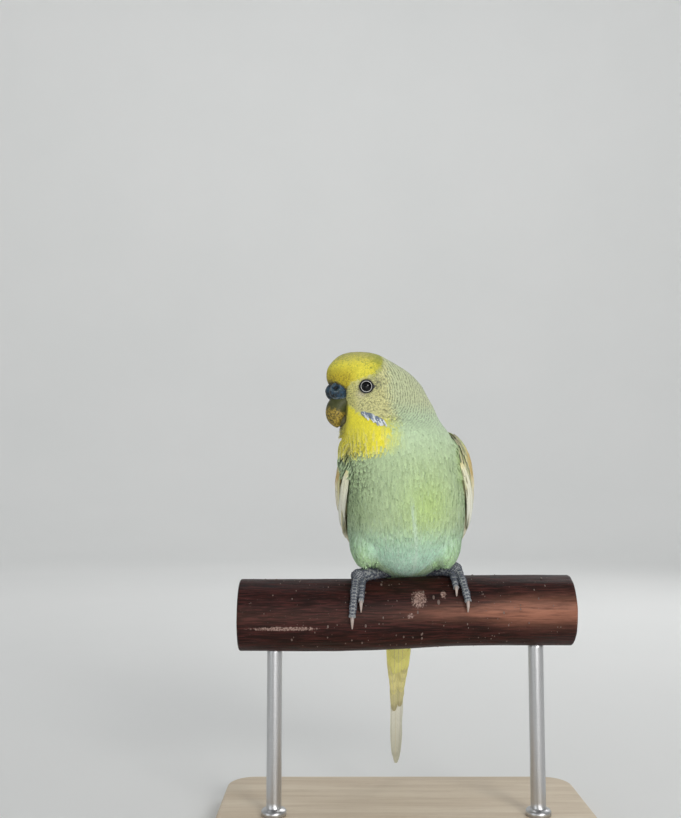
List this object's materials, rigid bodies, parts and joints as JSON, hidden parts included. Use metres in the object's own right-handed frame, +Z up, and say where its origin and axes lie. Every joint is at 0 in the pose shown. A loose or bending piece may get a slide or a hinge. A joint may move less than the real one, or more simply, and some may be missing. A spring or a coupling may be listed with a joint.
{
  "type": "budgerigar",
  "caption": "Life-size perched budgerigar, head turned to its right, gripping a cut length of branch that stands on two rods and a flat base.",
  "frame": {"origin": "middle of the underside of the stand's base, which is the lowest surface", "axes": "+Z up, -Y the way the breast faces, +X the bird's left and along the branch; the bird looks towards -X"},
  "size_m": [0.15, 0.104, 0.191],
  "materials": {
    "plumage": "soft feathers, green body with a yellow face",
    "wing_feathers": "cream feathers with yellow and grey-brown edges",
    "tail_feathers": "yellow above, fading to whitish at the tip",
    "foot_skin": "blue-grey scaly skin",
    "claw_horn": "pale pinkish horn",
    "cere_skin": "smooth blue skin",
    "beak_horn": "olive and ochre mottled horn",
    "eye": "wet black with a white ring",
    "branch_bark": "dark red-brown smooth bark",
    "stand_wood": "pale satin wood",
    "rod_steel": "satin steel"
  },
  "bodies": {
    "root": {"beak_lower": "beak_horn", "beak_upper": "beak_horn", "cere": "cere_skin", "claw_left_1": "claw_horn", "claw_left_2": "claw_horn", "claw_left_3": "claw_horn", "claw_left_4": "claw_horn", "claw_right_1": "claw_horn", "claw_right_2": "claw_horn", "claw_right_3": "claw_horn", "claw_right_4": "claw_horn", "eye_left": "eye", "eye_right": "eye", "head": "plumage", "neck": "plumage", "perch": "branch_bark", "shank_left": "foot_skin", "shank_right": "foot_skin", "stand_base": "stand_wood", "stand_rod_left": "rod_steel", "stand_rod_right": "rod_steel", "tail": "tail_feathers", "thigh_left": "plumage", "thigh_right": "plumage", "toe_left_1": "foot_skin", "toe_left_2": "foot_skin", "toe_left_3": "foot_skin", "toe_left_4": "foot_skin", "toe_right_1": "foot_skin", "toe_right_2": "foot_skin", "toe_right_3": "foot_skin", "toe_right_4": "foot_skin", "torso": "plumage", "wing_left": "wing_feathers", "wing_right": "wing_feathers"}
  },
  "joints": []
}
